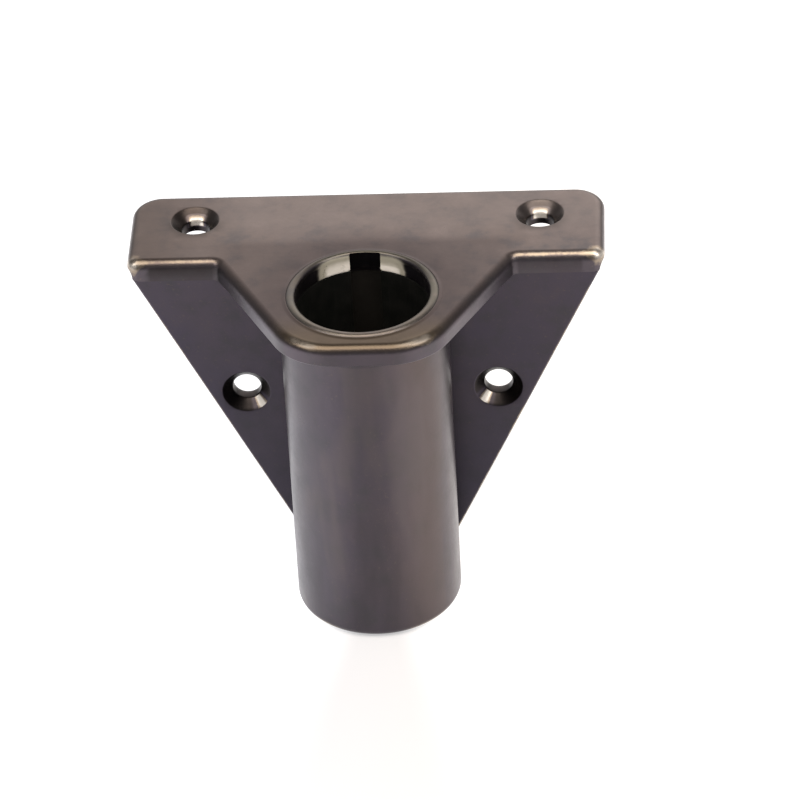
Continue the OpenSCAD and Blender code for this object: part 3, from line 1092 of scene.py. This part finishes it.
def stage_floor():
    me = bpy.data.meshes.new("floor")
    bm = bmesh.new()
    rings = [0.0, 0.1, 0.2, 0.35, 0.6, 1.2, 3.0]
    prev = None
    for r in rings:
        if r == 0:
            prev = [bm.verts.new((0, 0, FLOOR_Z))]
            continue
        cur = [bm.verts.new((r * math.cos(2 * math.pi * i / 64), r * math.sin(2 * math.pi * i / 64), FLOOR_Z))
               for i in range(64)]
        for i in range(64):
            j = (i + 1) % 64
            if len(prev) == 1:
                bm.faces.new((prev[0], cur[i], cur[j]))
            else:
                bm.faces.new((prev[i], cur[i], cur[j], prev[j]))
        prev = cur
    bm.to_mesh(me)
    bm.free()
    ob = bpy.data.objects.new("floor", me)
    bpy.context.collection.objects.link(ob)
    m = Nodes("pale_floor")
    pos = m.n("ShaderNodeSeparateXYZ")
    m.link(m.co, pos.inputs[0])
    x, y = pos.outputs["X"], pos.outputs["Y"]
    d = m.math("SQRT", m.math("ADD", m.math("MULTIPLY", x, x), m.math("MULTIPLY", y, y)))
    # lit from below: bright around the object, softer further out
    glow = m.span(d, 0.26, 0.62, 1.0, 0.30)
    # a little brighter to the sides than straight in front
    ang = m.math("DIVIDE", m.math("ABSOLUTE", x), m.math("ADD", d, 0.003))
    front = m.span(m.math("DIVIDE", y, m.math("ADD", d, 0.003)), -0.9, 0.1, 0.0, 1.0)
    side = m.math("MAXIMUM", m.span(ang, 0.15, 0.85), m.math("MULTIPLY", front, 0.4))
    level = m.math("ADD", m.span(d, 0.03, 0.12, 0.475, 0.51), m.math("MULTIPLY", side, 0.68))
    level = m.math("MULTIPLY", level, glow)
    em = m.n("ShaderNodeEmission")
    tint = m.mix(m.span(x, -0.03, 0.03), (0.985, 0.995, 1.03), (1.025, 0.995, 0.965))
    m.link(tint, em.inputs["Color"])
    m.link(level, em.inputs["Strength"])
    df = m.n("ShaderNodeBsdfDiffuse")
    df.inputs["Color"].default_value = (0.36, 0.355, 0.36, 1.0)
    ad = m.n("ShaderNodeAddShader")
    m.link(em.outputs[0], ad.inputs[0])
    m.link(df.outputs[0], ad.inputs[1])
    m.link(ad.outputs[0], m.out.inputs[0])
    ob.data.materials.append(m.mat)
    return ob


stage_floor()

# ---------------------------------------------------------------- light
def area(name, target, az, el, dist, size, radiance, color):
    """Soft box; az from -Y towards +X, el above the floor, degrees."""
    a, e = math.radians(az), math.radians(el)
    d = Vector((math.sin(a) * math.cos(e), -math.cos(a) * math.cos(e), math.sin(e)))
    li = bpy.data.lights.new(name, "AREA")
    li.shape = "RECTANGLE"
    li.size, li.size_y = size
    li.color = color
    li.energy = radiance * math.pi * size[0] * size[1]
    ob = bpy.data.objects.new(name, li)
    ob.location = Vector(target) + d * dist
    ob.rotation_euler = (d).to_track_quat("Z", "X" if abs(el) > 80 else "Y").to_euler()
    bpy.context.collection.objects.link(ob)
    return ob


T = (0.0, 0.0, -0.02)
area("key_top", T, 0, 73, 1.0, (0.95, 0.70), 4.9, (1.0, 0.93, 0.84))
area("fill_left", T, -58, 43, 1.1, (0.42, 0.50), 4.8, (1.0, 0.96, 0.92))
area("fill_right", T, 58, 43, 1.1, (0.42, 0.50), 5.2, (1.0, 0.95, 0.90))

world = bpy.data.worlds.new("studio")
bpy.context.scene.world = world
world.use_nodes = True
wt = world.node_tree
wt.nodes.clear()
wo = wt.nodes.new("ShaderNodeOutputWorld")
bg = wt.nodes.new("ShaderNodeBackground")
wt.links.new(bg.outputs[0], wo.inputs[0])
tc = wt.nodes.new("ShaderNodeTexCoord")
sp = wt.nodes.new("ShaderNodeSeparateXYZ")
wt.links.new(tc.outputs["Generated"], sp.inputs[0])


def wmap(sock, a, b, c, d):
    nd = wt.nodes.new("ShaderNodeMapRange")
    nd.interpolation_type = "SMOOTHSTEP"
    wt.links.new(sock, nd.inputs[0])
    for i, v in zip((1, 2, 3, 4), (a, b, c, d)):
        nd.inputs[i].default_value = v
    return nd.outputs[0]


def wmath(op, a, b):
    nd = wt.nodes.new("ShaderNodeMath")
    nd.operation = op
    for i, v in enumerate((a, b)):
        if isinstance(v, (int, float)):
            nd.inputs[i].default_value = v
        else:
            wt.links.new(v, nd.inputs[i])
    return nd.outputs[0]


rear = wmap(sp.outputs["Y"], 0.42, 0.86, 0.0, 1.0)
high = wmap(sp.outputs["Z"], 0.05, 0.45, 0.15, 1.0)
lvl = wmath("MULTIPLY", rear, high)
lvl = wmath("MULTIPLY", lvl, wmap(sp.outputs["X"], -0.5, 0.5, 1.62, 2.35))
lvl = wmath("ADD", lvl, 0.36)
wt.links.new(lvl, bg.inputs["Strength"])
mixc = wt.nodes.new("ShaderNodeMix")
mixc.data_type = "RGBA"
wt.links.new(rear, mixc.inputs[0])
mixc.inputs[6].default_value = (0.97, 0.97, 1.0, 1.0)
mixc.inputs[7].default_value = (1.0, 0.95, 0.93, 1.0)
wt.links.new(mixc.outputs[2], bg.inputs["Color"])

# ---------------------------------------------------------------- camera
back = Vector((0.05206, -0.81148, 0.58206)).normalized()
right = Vector((0.99795, 0.06403, 0.0)).normalized()
upv = back.cross(right).normalized()
roll = math.radians(3.309)
cr = math.cos(roll) * right - math.sin(roll) * upv
cu = math.sin(roll) * right + math.cos(roll) * upv
cam = bpy.data.cameras.new("camera")
cam.sensor_width = 36.0
cam.lens = 5111.5 * 36.0 / 800.0
cam.clip_start, cam.clip_end = 0.01, 50.0
co = bpy.data.objects.new("camera", cam)
rot = Matrix((cr, cu, back)).transposed().to_4x4()
co.matrix_world = Matrix.Translation(Vector((0.05694, -0.79425, 0.54483))) @ rot
bpy.context.collection.objects.link(co)
bpy.context.scene.camera = co

vs = bpy.context.scene.view_settings
vs.view_transform = "Standard"
vs.look = "None"
vs.exposure = 0.0
vs.gamma = 1.0

bpy.context.view_layer.update()
